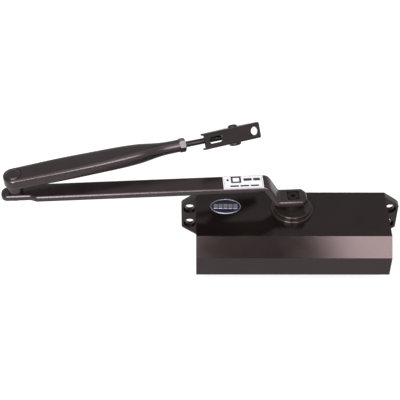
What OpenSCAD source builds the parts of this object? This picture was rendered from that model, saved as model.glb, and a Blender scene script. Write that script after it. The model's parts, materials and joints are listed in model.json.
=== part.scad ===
// Surface door closer with a folded double-lever arm.
// Millimetres. Origin: centre of the four mounting holes, on the mounting face.
// +X runs along the body, +Y points into the door, +Z is the spindle axis.

/* [Housing] */
// Length of the body without its ears
housing_l = 176.2; // [174:0.2:180]
// Height of the body along the spindle
housing_h = 50; // [50:1:54]
// Depth of the body, from the door to its front face
housing_d = 71; // [70:1:80]
// Chamfer along the two front edges
front_chamfer = 14; // [8:1:14]
// Bore of the hydraulic cylinder
cylinder_d = 38; // [38:0.5:39]

/* [Door mounting] */
// Hole spacing along the body
hole_pitch_x = 188.9; // [188:0.1:192]
// Hole spacing across the body
hole_pitch_z = 19.05; // [18:0.05:22]
// Clearance hole for the door screws
hole_d = 8; // [6:0.5:9]
// Counterbore for the screw heads
head_d = 11.5; // [10:0.5:12]
// Thickness of the mounting ears
ear_t = 6.5; // [5:0.5:8]

/* [Spindle] */
// Spindle axis to the mounting face
spindle_back = 23.2; // [22.8:0.1:23.6]
// Spindle diameter
spindle_d = 16; // [15:0.5:16]
// Across flats of the square spindle ends
square_af = 10.7; // [9:0.1:10.9]
// Teeth on the pinion
pinion_teeth = 11; // [11:1:11]
// Gear module
gear_module = 1.5; // [1.45:0.05:1.5]
// Opening angle that the rack allows for
opening_angle = 170; // [90:5:170]

/* [Main arm] */
// Spindle axis to elbow, along the bar
main_arm_l = 249.1; // [230:0.1:260]
// Turn of the folded bar away from the door
main_arm_turn = 3.4; // [2:0.1:6]
// Width of the bar
bar_w = 19; // [17:0.5:20]
// Thickness of the bar
bar_t = 5.5; // [5:0.5:6]
// Rise of the bar above the spindle eye
joggle_rise = 14.2; // [12:0.1:16]
// Sideways crank of the bar towards the door
joggle_crank = 5.2; // [0:0.1:6]

/* [Forearm] */
// Angle between the body and the folded forearm
forearm_turn = 17.1; // [15:0.1:30]
// Elbow to the threaded end
forearm_l = 151.5; // [150:0.1:156]
// Elbow to the shoe pin
reach = 204.6; // [204:0.1:214]
// Diameter of the threaded adjusting rod
rod_d = 6; // [5.5:0.5:6]

/* [Shoe] */
// Length of the shoe plate
shoe_l = 59.6; // [56:0.1:64]
// Width over the flanges
shoe_w = 15; // [14.8:0.1:16]
// Sheet thickness
shoe_t = 1.8; // [1.6:0.1:2]
// Pitch of the plate against the rod
shoe_pitch = 16; // [10:1:60]
// Roll of the shoe about the rod
shoe_roll = 52; // [40:1:60]

/* [Hidden] */
$fn = 64;

bronze = [0.22, 0.18, 0.17];
dark_steel = [0.16, 0.14, 0.14];
zinc = [0.72, 0.72, 0.70];
steel = [0.58, 0.58, 0.60];
nitrile = [0.07, 0.07, 0.08];
polymer = [0.12, 0.11, 0.11];

eps = 0.01;
fit = 0.04;       // radial clearance of a running fit
seat_fit = 0.02;  // radial clearance of a part that stays put

end_x = housing_l / 2;
top_z = housing_h / 2;

// Hydraulic cylinder
bore_y = -27.5;
bore_r = cylinder_d / 2;
plug_r = bore_r + 2;
plug_in = 73.2;          // inner end of the plug thread
plug_face = end_x - 1.8; // outer end of the plugs
plug_seal_x = 77.5;
seal_wire = 1.25;

// Bearing nuts, from the top face of the body upwards
nut_thread_r = 16;
nut_flange_r = 19.1;
nut_flange_t = 2.5;
nut_step_r = 17;
nut_step_t = 3.2;
nut_low_z = 19.6;
bearing_pocket_r = 12;
bearing_top_z = 26;
seal_top_z = top_z + nut_flange_t + nut_step_t - 1.3;

// Spindle and pinion
spindle_r = spindle_d / 2;
pitch_r = gear_module * pinion_teeth / 2;
pressure_angle = 25;
base_r = pitch_r * cos(pressure_angle);
tip_r = pitch_r + 0.9 * gear_module;
root_r = pitch_r - 1.2 * gear_module;
gear_half_h = 9.5;
rack_half_h = 9;
backlash = 0.12;
rack_pitch = PI * gear_module;
rack_line_y = -spindle_back - pitch_r;
travel = pitch_r * opening_angle * PI / 180;

// Piston, at rest
slot_end = 1.9;                      // pinion tip to the near end of the slot
slot_right = tip_r + slot_end;
slot_left = -(travel + tip_r + slot_end - 0.5);
piston_right = slot_right + 5.5;
piston_left = slot_left - 7.5;
slot_back_y = -13;
slot_front_y = rack_line_y - 1.2 * gear_module;
check_r = 4.5;

// Spring and its adjuster
seat_x = 65;
seat_t = 5;
spring_wire = 3.2;
spring_r = 14.3;
spring_turns = 5.5;
adjuster_r = 5;

// Regulating valves
valve_y = -57;
valve_z = 9;
valve_r = 3.5;
valve_head_x = end_x - 0.6;
valve_in = 70;
needle_tip_x = 64.5;
valve_seal_x = 79;

// Main arm
eye_low_z = top_z + 12.8;
eye_top_z = eye_low_z + bar_t;
square_gap = 0.08;
eye_end = 12.6;
eye_corner = 5;
bend_r = 5;
ramp_angle = 55;
ramp_run = (joggle_rise - 2 * bend_r * (1 - cos(ramp_angle))) / tan(ramp_angle);
joggle_run = ramp_run + 2 * bend_r * sin(ramp_angle);
joggle_start = 19.1 - joggle_run / 2;
bar_start = joggle_start + joggle_run;
bar_low_z = eye_low_z + joggle_rise;
bar_top_z = bar_low_z + bar_t;
bar_end = main_arm_l + 13.2;
neck_l = 30;
neck_cut = 2.5;

// Elbow
rivet_r = 4;
washer_t = 3.3;
washer_r = 6.2;
skirt_r = 7.2;
skirt_h = 6.1;
bush_r = 5.5;
spot_r = 7.4;
face_gap = 0.1;
skirt_low_z = bar_top_z + washer_t + face_gap;
arm_z = bar_top_z + washer_t + skirt_h + 5.5;
forearm_top_z = arm_z + 5.5;
elbow_x = -main_arm_l * cos(main_arm_turn) - joggle_crank * sin(main_arm_turn);
elbow_y = -spindle_back - main_arm_l * sin(main_arm_turn) + joggle_crank * cos(main_arm_turn);

// Forearm sections: distance from the elbow against width, height and squareness
forearm_end_r = 9;
width_at = [[0, 20], [14, 20.8], [42, 22], [79, 21.3], [98, 20.2], [108, 19.1], [116, 17.6],
            [125.5, 14.6], [135, 12.5], [144, 12], [153, 12], [160, 12]];
height_at = [[0, 11], [14, 11.2], [42, 12.1], [79, 12.7], [98, 13.7], [108, 14], [116, 14],
             [125.5, 13], [135, 11.8], [144, 11.5], [153, 11.5], [160, 11.5]];
square_at = [[0, 5], [79, 4.2], [116, 3], [135, 2.2], [144, 2], [160, 2]];

// Lock nut and adjusting rod
rod_r = rod_d / 2;
rod_in = 112;
nut_af = 11.4;
nut_t = 6;
nut_gap = 0.1;
eye_r = 5.6;
eye_t = 7.4;
pin_r = 2.5;

// Shoe, in its own frame: X along the plate, Y along the pin, Z out of the plate
plate_z = 6.5;
shoe_left = -35.7;
slot_x = -23.8;
slot_l = 14.6;
slot_w = 6;
shoe_hole_x = 17.8;
shoe_hole_d = 7.8;
flange_z = -5.2;
flange_tip_z = 2;
head_up_r = 4.3;
head_up_t = 2.2;
head_low_r = 5.5;
head_low_t = 2.8;

// ---------- shared shapes ----------

// A cylinder along X from x0 to x1
module bar_x(x0, x1, r, y = 0, z = 0)
  translate([x0, y, z])
    rotate([0, 90, 0])
      cylinder(h = x1 - x0, r = r);

// A ring along Z from z0 to z1
module ring_z(z0, z1, r_out, r_in)
  translate([0, 0, z0])
    difference() {
      cylinder(h = z1 - z0, r = r_out);
      translate([0, 0, -1])
        cylinder(h = z1 - z0 + 2, r = r_in);
    }

// An O-ring around X
module o_ring_x(x, ring_r, wire_r, y = 0, z = 0)
  translate([x, y, z])
    rotate([0, 90, 0])
      rotate_extrude($fn = 48)
        translate([ring_r, 0])
          circle(r = wire_r, $fn = 24);

// A hexagonal prism along Z
module hex_z(z0, z1, af)
  translate([0, 0, z0])
    cylinder(h = z1 - z0, d = af / cos(30), $fn = 6);

module at_spindle()
  translate([0, -spindle_back, 0])
    children();

// Frame of the main arm: X towards the elbow, origin on the spindle
module at_main_arm()
  at_spindle()
    rotate([0, 0, 180 + main_arm_turn])
      children();

// Frame of the forearm: X towards the shoe, origin on the elbow
module at_elbow()
  translate([elbow_x, elbow_y, 0])
    rotate([0, 0, forearm_turn])
      children();

// Frame of the adjusting rod: as the forearm, at the rod's height
module at_rod()
  at_elbow()
    translate([0, 0, arm_z])
      children();

// Frame of the shoe, origin on the pin
module at_shoe()
  at_rod()
    translate([reach, 0, 0])
      rotate([shoe_roll, 0, 0])
        rotate([0, shoe_pitch, 0])
          children();

// ---------- housing group ----------

module housing_profile()
  polygon([
    [0, -top_z], [0, top_z],
    [-(housing_d - front_chamfer), top_z], [-housing_d, top_z - front_chamfer],
    [-housing_d, -top_z + front_chamfer], [-(housing_d - front_chamfer), -top_z]
  ]);

module ears() {
  tip_x = hole_pitch_x / 2 + 7.8;
  tip_z = 15.8;
  corner = 2;
  rotate([90, 0, 0])
    linear_extrude(ear_t)
      polygon([
        [-tip_x, -tip_z + corner], [-tip_x, tip_z - corner], [-tip_x + corner, tip_z],
        [-end_x + eps, top_z], [end_x - eps, top_z],
        [tip_x - corner, tip_z], [tip_x, tip_z - corner],
        [tip_x, -tip_z + corner], [tip_x - corner, -tip_z],
        [end_x - eps, -top_z], [-end_x + eps, -top_z], [-tip_x + corner, -tip_z]
      ]);
}

module door_holes()
  for (x = [-1, 1], z = [-1, 1])
    translate([x * hole_pitch_x / 2, 0, z * hole_pitch_z / 2])
      rotate([90, 0, 0]) {
        translate([0, 0, -1])
          cylinder(h = ear_t + 2, d = hole_d);
        translate([0, 0, ear_t - 2.5])
          cylinder(h = 3, d = head_d);
      }

module cylinder_bore() {
  bar_x(-end_x - 1, end_x + 1, bore_r, bore_y);
  for (side = [0, 1])
    mirror([side, 0, 0])
      bar_x(plug_in - 0.2, end_x + 1, plug_r, bore_y);
}

// One regulating bore with the two drillings that lead to the cylinder
module valve_bore(z) {
  bar_x(needle_tip_x - 6, end_x + 1, valve_r, valve_y, z);
  for (x = [needle_tip_x - 4, needle_tip_x + 3])
    translate([x, valve_y, z])
      rotate([-90, 0, 0])
        cylinder(h = 16, r = 1.1);
}

module housing()
  color(bronze)
    difference() {
      union() {
        translate([-end_x, 0, 0])
          rotate([90, 0, 90])
            linear_extrude(housing_l)
              housing_profile();
        ears();
      }
      cylinder_bore();
      door_holes();
      at_spindle()
        translate([0, 0, -top_z - 1])
          cylinder(h = housing_h + 2, r = nut_thread_r + seat_fit);
      mirror([1, 0, 0]) {
        valve_bore(valve_z);
        valve_bore(-valve_z);
      }
    }

module nameplate() {
  plate = [28.4, 19.2];
  plate_t = 0.9;
  sides = 60;
  color(zinc)
    translate([-61, -19.3, top_z])
      linear_extrude(plate_t)
        polygon([for (i = [0 : sides - 1])
          [plate[0] / 2 * cos(i * 360 / sides), plate[1] / 2 * sin(i * 360 / sides)]]);
}

// Threaded plug on the +X side, with its seal groove and hexagon socket
module end_plug_solid()
  difference() {
    bar_x(plug_in, plug_face, plug_r - seat_fit, bore_y);
    difference() {
      bar_x(plug_seal_x - 1.4, plug_seal_x + 1.4, plug_r + 1, bore_y);
      bar_x(plug_seal_x - 2, plug_seal_x + 2, plug_r - 2 * seal_wire - 0.05, bore_y);
    }
  }

module left_end_plug()
  color(zinc)
    mirror([1, 0, 0])
      difference() {
        end_plug_solid();
        translate([plug_face - 6, bore_y, 0])
          rotate([0, 90, 0])
            hex_z(0, 7, 14);
      }

module right_end_plug()
  color(zinc)
    difference() {
      end_plug_solid();
      bar_x(plug_in - 1, plug_face + 1, adjuster_r + fit, bore_y);
      for (a = [0, 180])
        translate([0, bore_y, 0])
          rotate([a, 0, 0])
            bar_x(plug_face - 4, plug_face + 1, 2, 12.5);
    }

module end_plug_seals()
  color(nitrile)
    for (side = [0, 1])
      mirror([side, 0, 0])
        o_ring_x(plug_seal_x, plug_r - seal_wire - 0.03, seal_wire, bore_y);

// Threaded ring that carries the bearing and the shaft seal, upper side
module bearing_nut_solid()
  at_spindle()
    difference() {
      union() {
        translate([0, 0, nut_low_z])
          cylinder(h = top_z - nut_low_z + 1, r = nut_thread_r);
        translate([0, 0, top_z])
          cylinder(h = nut_flange_t, r = nut_flange_r);
        translate([0, 0, top_z])
          cylinder(h = nut_flange_t + nut_step_t, r = nut_step_r);
      }
      translate([0, 0, nut_low_z - 1])
        cylinder(h = seal_top_z - nut_low_z + 1, r = bearing_pocket_r);
      cylinder(h = top_z * 2, r = spindle_r + 0.35);
      for (a = [45 : 90 : 315])
        rotate([0, 0, a])
          translate([14.5, 0, top_z + nut_flange_t + nut_step_t - 2])
            cylinder(h = 3, r = 1.25, $fn = 24);
    }

module upper_bearing_nut()
  color(dark_steel)
    bearing_nut_solid();

module lower_bearing_nut()
  color(dark_steel)
    mirror([0, 0, 1])
      bearing_nut_solid();

module bearing_solid()
  at_spindle()
    ring_z(nut_low_z, bearing_top_z, bearing_pocket_r - seat_fit, spindle_r + fit);

module upper_bearing()
  color(steel)
    bearing_solid();

module lower_bearing()
  color(steel)
    mirror([0, 0, 1])
      bearing_solid();

module shaft_seal_solid()
  at_spindle()
    ring_z(bearing_top_z + 0.2, seal_top_z - 0.1, bearing_pocket_r - seat_fit, spindle_r + fit);

module upper_shaft_seal()
  color(nitrile)
    shaft_seal_solid();

module lower_shaft_seal()
  color(nitrile)
    mirror([0, 0, 1])
      shaft_seal_solid();

// ---------- spindle group ----------

// Polar angle of an involute flank at radius r, from where it leaves the base circle
function flank_angle(r) =
  let (a = sqrt(max(0, r * r / (base_r * base_r) - 1)))
  a * 180 / PI - atan(a);

half_tooth = 90 / pinion_teeth + flank_angle(pitch_r) - backlash / 4 / pitch_r * 180 / PI;
flank_steps = 5;
flank_r = [for (i = [0 : flank_steps]) base_r + (tip_r - base_r) * i / flank_steps];

function polar(r, a) = [r * cos(a), r * sin(a)];

module pinion_outline()
  polygon([for (t = [0 : pinion_teeth - 1])
    let (mid = t * 360 / pinion_teeth - 90)
    each concat(
      [polar(root_r, mid - half_tooth)],
      [for (i = [0 : flank_steps]) polar(flank_r[i], mid - half_tooth + flank_angle(flank_r[i]))],
      [for (i = [flank_steps : -1 : 0]) polar(flank_r[i], mid + half_tooth - flank_angle(flank_r[i]))],
      [polar(root_r, mid + half_tooth)]
    )]);

// Square end of the spindle with its corners turned down to the shaft
module square_end(z0, z1)
  translate([0, 0, z0])
    intersection() {
      translate([0, 0, (z1 - z0) / 2])
        cube([square_af, square_af, z1 - z0], center = true);
      cylinder(h = z1 - z0, r = spindle_r - 0.6);
    }

module pinion_shaft() {
  square_top = eye_top_z - 1.7;
  square_low = -(top_z + nut_flange_t + nut_step_t + 9);
  thrust_t = 2.3;
  color(steel)
    at_spindle()
      difference() {
        union() {
          translate([0, 0, -gear_half_h])
            linear_extrude(2 * gear_half_h)
              pinion_outline();
          for (side = [0, 1])
            mirror([0, 0, side]) {
              translate([0, 0, gear_half_h])
                cylinder(h = nut_low_z - gear_half_h, r = spindle_r - 0.3);
              translate([0, 0, nut_low_z - 0.2 - thrust_t])
                cylinder(h = thrust_t, r = tip_r);
            }
          translate([0, 0, nut_low_z - 0.2])
            cylinder(h = eye_low_z - nut_low_z + 0.2, r = spindle_r);
          translate([0, 0, -eye_low_z + 6])
            cylinder(h = eye_low_z - 6 - nut_low_z + 0.2, r = spindle_r);
          rotate([0, 0, main_arm_turn]) {
            square_end(eye_low_z - 1, square_top);
            square_end(square_low, -eye_low_z + 7);
          }
        }
        translate([0, 0, square_top - 14])
          cylinder(h = 15, r = 3 + seat_fit);
      }
}

module arm_screw() {
  head_z = eye_top_z - 1.7;
  color(dark_steel)
    at_spindle()
      difference() {
        union() {
          translate([0, 0, head_z])
            cylinder(h = 1.5, r = 4.8);
          translate([0, 0, head_z - 13])
            cylinder(h = 13.5, r = 3);
        }
        rotate([0, 0, 15])
          hex_z(head_z - 2.5, head_z + 3, 4);
      }
}

// Plastic cover over the unused lower end of the spindle
module spindle_cap() {
  rim_z = top_z + nut_flange_t + nut_step_t + 0.4;
  cap_h = 12;
  color(polymer)
    at_spindle()
      mirror([0, 0, 1])
        difference() {
          union() {
            translate([0, 0, rim_z])
              cylinder(h = cap_h - 2, r = 13);
            translate([0, 0, rim_z + cap_h - 2])
              cylinder(h = 2, r1 = 13, r2 = 11);
          }
          translate([0, 0, rim_z - 1])
            cylinder(h = 3, r = 11.4);
          translate([0, 0, rim_z - 1])
            cylinder(h = cap_h - 1, r = spindle_r + 0.15);
        }
}

// ---------- piston group ----------

// One straight-sided rack tooth, pointing at the spindle
module rack_tooth() {
  half = rack_pitch / 4 - backlash / 4;
  up = 0.9 * gear_module;
  down = 1.2 * gear_module + 0.5;
  polygon([
    [-half - down * tan(pressure_angle), -down], [half + down * tan(pressure_angle), -down],
    [half - up * tan(pressure_angle), up], [-half + up * tan(pressure_angle), up]
  ]);
}

module piston() {
  last_tooth = floor((slot_right - 2.5) / rack_pitch - 0.5);
  first_tooth = ceil((slot_left + 2.5) / rack_pitch - 0.5);
  color(steel)
    difference() {
      union() {
        difference() {
          bar_x(piston_left, piston_right, bore_r - fit, bore_y);
          translate([slot_left, slot_front_y, -bore_r - 1])
            cube([slot_right - slot_left, slot_back_y - slot_front_y, cylinder_d + 2]);
        }
        translate([0, rack_line_y, -rack_half_h])
          linear_extrude(2 * rack_half_h)
            for (i = [first_tooth : last_tooth])
              translate([(i + 0.5) * rack_pitch, 0])
                rack_tooth();
      }
      bar_x(piston_left - 1, slot_left + 1, check_r + seat_fit, bore_y);
      bar_x(piston_right - 3, piston_right + 1, spring_r - 4, bore_y);
    }
}

module check_valve_seat()
  color(steel)
    difference() {
      bar_x(piston_left, piston_left + 2.6, check_r, bore_y);
      bar_x(piston_left - 1, piston_left + 4, 1.4, bore_y);
    }

module check_ball()
  color(zinc)
    translate([piston_left + 4.75, bore_y, 0])
      sphere(r = 2);

module check_retainer()
  color(steel)
    difference() {
      bar_x(piston_left + 6.9, piston_left + 7.5, check_r, bore_y);
      bar_x(piston_left + 6, piston_left + 8, 1.4, bore_y);
    }

// ---------- spring group ----------

// Closed tube that follows a helix along X from x0 to x1
module coil_x(x0, x1, mid_r, wire_r, turns) {
  steps = round(turns * 20);
  sides = 8;
  rise = (x1 - x0) / steps;
  points = [for (i = [0 : steps], j = [0 : sides - 1])
    let (
      a = i * 360 * turns / steps,
      r = mid_r + wire_r * cos(j * 360 / sides)
    )
    [x0 + i * rise + wire_r * sin(j * 360 / sides), r * cos(a), r * sin(a)]];
  walls = [for (i = [0 : steps - 1], j = [0 : sides - 1])
    let (k = (j + 1) % sides)
    [i * sides + j, (i + 1) * sides + j, (i + 1) * sides + k, i * sides + k]];
  first_cap = [for (j = [0 : sides - 1]) j];
  last_cap = [for (j = [sides - 1 : -1 : 0]) steps * sides + j];
  polyhedron(points, concat(walls, [first_cap, last_cap]));
}

module main_spring() {
  slack = 0.2;
  color(steel)
    translate([0, bore_y, 0])
      coil_x(piston_right + spring_wire / 2 + slack, seat_x - spring_wire / 2 - slack,
             spring_r, spring_wire / 2, spring_turns);
}

module spring_seat()
  color(steel)
    difference() {
      union() {
        bar_x(seat_x, seat_x + seat_t, bore_r - 0.4, bore_y);
        bar_x(seat_x - 2.5, seat_x + 1, spring_r - spring_wire / 2 - 0.6, bore_y);
      }
      bar_x(seat_x - 4, seat_x + seat_t + 1, adjuster_r + fit, bore_y);
    }

module spring_adjusting_screw()
  color(dark_steel)
    difference() {
      union() {
        bar_x(seat_x - 8, plug_face - 1, adjuster_r, bore_y);
        bar_x(seat_x + seat_t + 0.4, plug_in - 0.1, adjuster_r + 3.5, bore_y);
      }
      translate([plug_face - 7, bore_y, 0])
        rotate([0, 90, 0])
          hex_z(0, 8, 5);
    }

// ---------- regulating valves ----------

// Needle valve on the +X side, with its seal groove and screwdriver slot
module valve_solid(z)
  translate([0, valve_y, z])
    difference() {
      union() {
        bar_x(valve_in, valve_head_x, valve_r - fit);
        translate([needle_tip_x, 0, 0])
          rotate([0, 90, 0])
            cylinder(h = valve_in - needle_tip_x + eps, r1 = 0.8, r2 = 2.4);
      }
      difference() {
        bar_x(valve_seal_x - 0.95, valve_seal_x + 0.95, valve_r + 1);
        bar_x(valve_seal_x - 1.5, valve_seal_x + 1.5, valve_r - 1.75);
      }
      translate([valve_head_x - 1.5, -valve_r - 1, -0.5])
        cube([3, 2 * valve_r + 2, 1]);
    }

module valve_seal_solid(z)
  o_ring_x(valve_seal_x, valve_r - 0.86, 0.8, valve_y, z);

module closing_valve()
  color(zinc)
    mirror([1, 0, 0])
      valve_solid(valve_z);

module latching_valve()
  color(zinc)
    mirror([1, 0, 0])
      valve_solid(-valve_z);

module closing_valve_seal()
  color(nitrile)
    mirror([1, 0, 0])
      valve_seal_solid(valve_z);

module latching_valve_seal()
  color(nitrile)
    mirror([1, 0, 0])
      valve_seal_solid(-valve_z);

// ---------- main arm group ----------

function ease(s) = s * s * (3 - 2 * s);

// Stations of the joggle: distance, height and slope of the bar's underside
joggle_path = concat(
  [for (a = [0, ramp_angle / 2, ramp_angle])
    [joggle_start + bend_r * sin(a), bend_r * (1 - cos(a)), a]],
  [for (a = [ramp_angle, ramp_angle / 2, 0])
    [bar_start - bend_r * sin(a), joggle_rise - bend_r * (1 - cos(a)), a]]
);

module joggle_slice(s)
  translate([s[0], -joggle_crank * ease((s[0] - joggle_start) / joggle_run),
             eye_low_z + bar_t / 2 + s[1]])
    rotate([0, -s[2], 0])
      cube([0.02, bar_w, bar_t], center = true);

module eye_plate()
  translate([0, 0, eye_low_z])
    linear_extrude(bar_t)
      polygon([
        [-eye_end, -bar_w / 2 + eye_corner], [-eye_end + eye_corner, -bar_w / 2],
        [joggle_start, -bar_w / 2], [joggle_start, bar_w / 2],
        [-eye_end + eye_corner, bar_w / 2], [-eye_end, bar_w / 2 - eye_corner]
      ]);

// Half of the bar's outline: a neck and a rounded end
function bar_half_outline() =
  let (
    w1 = bar_w / 2,
    neck_x = bar_end - neck_l,
    w2 = w1 - neck_cut,
    r = 6.5
  )
  concat(
    [[bar_start, w1], [neck_x, w1], [neck_x + 3, w2]],
    [for (a = [90 : -15 : 0]) [bar_end - r + r * cos(a), w2 - r + r * sin(a)]]
  );

module bar_plate()
  translate([0, -joggle_crank, bar_low_z])
    linear_extrude(bar_t)
      polygon(concat(
        [for (p = bar_half_outline()) p],
        [for (i = [len(bar_half_outline()) - 1 : -1 : 0])
          [bar_half_outline()[i][0], -bar_half_outline()[i][1]]]
      ));

module main_arm()
  color(bronze)
    at_main_arm()
      difference() {
        union() {
          eye_plate();
          for (i = [0 : len(joggle_path) - 2])
            hull() {
              joggle_slice(joggle_path[i]);
              joggle_slice(joggle_path[i + 1]);
            }
          bar_plate();
        }
        translate([0, 0, eye_low_z + bar_t / 2])
          cube([square_af + 2 * square_gap, square_af + 2 * square_gap, bar_t + 2], center = true);
        translate([main_arm_l, -joggle_crank, bar_low_z - 1])
          cylinder(h = bar_t + 2, r = rivet_r + seat_fit);
      }

module arm_label() {
  label_l = 36.2;
  label_w = 17.2;
  label_t = 0.2;
  color([0.93, 0.93, 0.92])
    at_main_arm()
      translate([bar_start + 0.7, -joggle_crank - label_w / 2, bar_top_z])
        cube([label_l, label_w, label_t]);
}

module elbow_rivet() {
  head_t = 1.9;
  spot_z = forearm_top_z - 1.2;
  color(dark_steel)
    at_main_arm()
      translate([main_arm_l, -joggle_crank, 0]) {
        translate([0, 0, bar_low_z - 2.4])
          cylinder(h = 2.4, r = 6.2);
        translate([0, 0, bar_low_z - 1])
          cylinder(h = spot_z - bar_low_z + 2, r = rivet_r);
        translate([0, 0, spot_z + face_gap])
          cylinder(h = head_t - 0.7, r = spot_r - 0.5);
        translate([0, 0, spot_z + face_gap + head_t - 0.7])
          cylinder(h = 0.7, r1 = spot_r - 0.5, r2 = spot_r - 1.6);
      }
}

module elbow_washer()
  color(zinc)
    at_main_arm()
      translate([main_arm_l, -joggle_crank, 0])
        ring_z(bar_top_z, bar_top_z + washer_t, washer_r, rivet_r + seat_fit);

// ---------- forearm group ----------

// One ring of the forearm's swaged section: x along the forearm, half width a, half height b
function forearm_ring(x, a, b, n, sides) =
  [for (j = [0 : sides - 1])
    let (
      t = j * 360 / sides,
      c = cos(t),
      s = sin(t)
    )
    [x, a * sign(c) * pow(abs(c), 2 / n), b * sign(s) * pow(abs(s), 2 / n)]];

module forearm_bar() {
  sides = 32;
  end_rings = 7;
  rings = 22;
  stations = concat(
    [for (i = [0 : end_rings - 1]) -forearm_end_r * cos(4 + 86 * i / end_rings)],
    [for (i = [0 : rings]) forearm_l * i / rings]
  );
  points = [for (x = stations)
    let (
      nose = x < 0 ? sqrt(forearm_end_r * forearm_end_r - x * x) / forearm_end_r : 1,
      half_w = lookup(max(x, 0), width_at) / 2 * nose,
      half_h = lookup(max(x, 0), height_at) / 2 * (0.62 + 0.38 * pow(nose, 0.6))
    )
    each forearm_ring(x, half_w, half_h, lookup(max(x, 0), square_at), sides)];
  last = len(stations) - 1;
  walls = [for (i = [0 : last - 1], j = [0 : sides - 1])
    let (k = (j + 1) % sides)
    [i * sides + j, (i + 1) * sides + j, (i + 1) * sides + k, i * sides + k]];
  first_cap = [for (j = [0 : sides - 1]) j];
  last_cap = [for (j = [sides - 1 : -1 : 0]) last * sides + j];
  polyhedron(points, concat(walls, [first_cap, last_cap]));
}

module forearm()
  color(bronze)
    difference() {
      union() {
        at_rod()
          forearm_bar();
        at_elbow()
          translate([0, 0, skirt_low_z])
            cylinder(h = arm_z - skirt_low_z, r = skirt_r);
      }
      at_elbow()
        translate([0, 0, skirt_low_z - 1])
          cylinder(h = 40, r = bush_r + seat_fit);
      at_elbow()
        translate([0, 0, forearm_top_z - 1.2])
          cylinder(h = 5, r = spot_r);
      at_rod()
        bar_x(rod_in - 14, forearm_l + 1, rod_r);
    }

module elbow_bush()
  color([0.62, 0.45, 0.2])
    at_elbow()
      ring_z(skirt_low_z, forearm_top_z - 1.2, bush_r, rivet_r + fit);

module lock_nut()
  color([0.8, 0.79, 0.78])
    at_rod()
      translate([forearm_l + nut_gap, 0, 0])
        rotate([0, 90, 0])
          difference() {
            intersection() {
              rotate([0, 0, 12])
                hex_z(0, nut_t, nut_af);
              union() {
                cylinder(h = nut_t / 2, r1 = nut_af / 2, r2 = nut_af / 2 + nut_t / 2);
                translate([0, 0, nut_t / 2])
                  cylinder(h = nut_t / 2, r1 = nut_af / 2 + nut_t / 2, r2 = nut_af / 2);
              }
            }
            translate([0, 0, -1])
              cylinder(h = nut_t + 2, r = rod_r);
          }

module adjusting_rod()
  color(dark_steel)
    at_rod()
      rotate([shoe_roll, 0, 0])
        difference() {
          union() {
            bar_x(rod_in, reach - eye_r + 1, rod_r - fit);
            translate([reach, eye_t / 2, 0])
              rotate([90, 0, 0])
                cylinder(h = eye_t, r = eye_r);
          }
          translate([reach, eye_t, 0])
            rotate([90, 0, 0])
              cylinder(h = 2 * eye_t, r = pin_r + fit);
        }

// ---------- shoe group ----------

// Outline of one flange seen along the pin: shallow at the ends, deep around the pin
module flange_outline()
  polygon([
    [shoe_left, plate_z + shoe_t], [shoe_left, flange_tip_z], [-12, flange_z],
    [8, flange_z], [shoe_left + shoe_l, flange_tip_z], [shoe_left + shoe_l, plate_z + shoe_t]
  ]);

module shoe_bracket()
  color(bronze)
    at_shoe()
      difference() {
        union() {
          translate([shoe_left, -shoe_w / 2, plate_z])
            cube([shoe_l, shoe_w, shoe_t]);
          for (y = [-shoe_w / 2 + shoe_t, shoe_w / 2])
            translate([0, y, 0])
              rotate([90, 0, 0])
                linear_extrude(shoe_t)
                  flange_outline();
        }
        translate([0, shoe_w, 0])
          rotate([90, 0, 0])
            cylinder(h = 2 * shoe_w, r = pin_r + seat_fit);
        translate([shoe_hole_x, 0, plate_z - 1])
          cylinder(h = shoe_t + 2, d = shoe_hole_d);
        for (side = [-1, 1])
          translate([slot_x + side * (slot_l - slot_w) / 2, 0, plate_z - 1])
            cylinder(h = shoe_t + 2, d = slot_w);
        translate([slot_x - (slot_l - slot_w) / 2, -slot_w / 2, plate_z - 1])
          cube([slot_l - slot_w, slot_w, shoe_t + 2]);
      }

module shoe_pin()
  color(dark_steel)
    at_shoe()
      rotate([90, 0, 0]) {
        translate([0, 0, -shoe_w / 2 - head_up_t])
          cylinder(h = head_up_t, r = head_up_r);
        translate([0, 0, -shoe_w / 2 - 1])
          cylinder(h = shoe_w + 2, r = pin_r);
        translate([0, 0, shoe_w / 2])
          cylinder(h = head_low_t, r = head_low_r);
      }

module shoe_washers() {
  gap = shoe_w / 2 - shoe_t - eye_t / 2;
  color(zinc)
    at_shoe()
      for (side = [0, 1])
        mirror([0, side, 0])
          translate([0, eye_t / 2 + gap - 0.05, 0])
            rotate([90, 0, 0])
              ring_z(0, gap - 0.15, eye_r - 0.4, pin_r + seat_fit);
}

housing();
nameplate();
left_end_plug();
right_end_plug();
end_plug_seals();
upper_bearing_nut();
lower_bearing_nut();
upper_bearing();
lower_bearing();
upper_shaft_seal();
lower_shaft_seal();
spindle_cap();
pinion_shaft();
piston();
check_valve_seat();
check_ball();
check_retainer();
main_spring();
spring_seat();
spring_adjusting_screw();
closing_valve();
latching_valve();
closing_valve_seal();
latching_valve_seal();
main_arm();
arm_label();
arm_screw();
elbow_rivet();
elbow_washer();
forearm();
elbow_bush();
lock_nut();
adjusting_rod();
shoe_bracket();
shoe_pin();
shoe_washers();
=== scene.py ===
import json
import math
import bmesh
import bpy
from mathutils import Matrix, Vector


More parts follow.
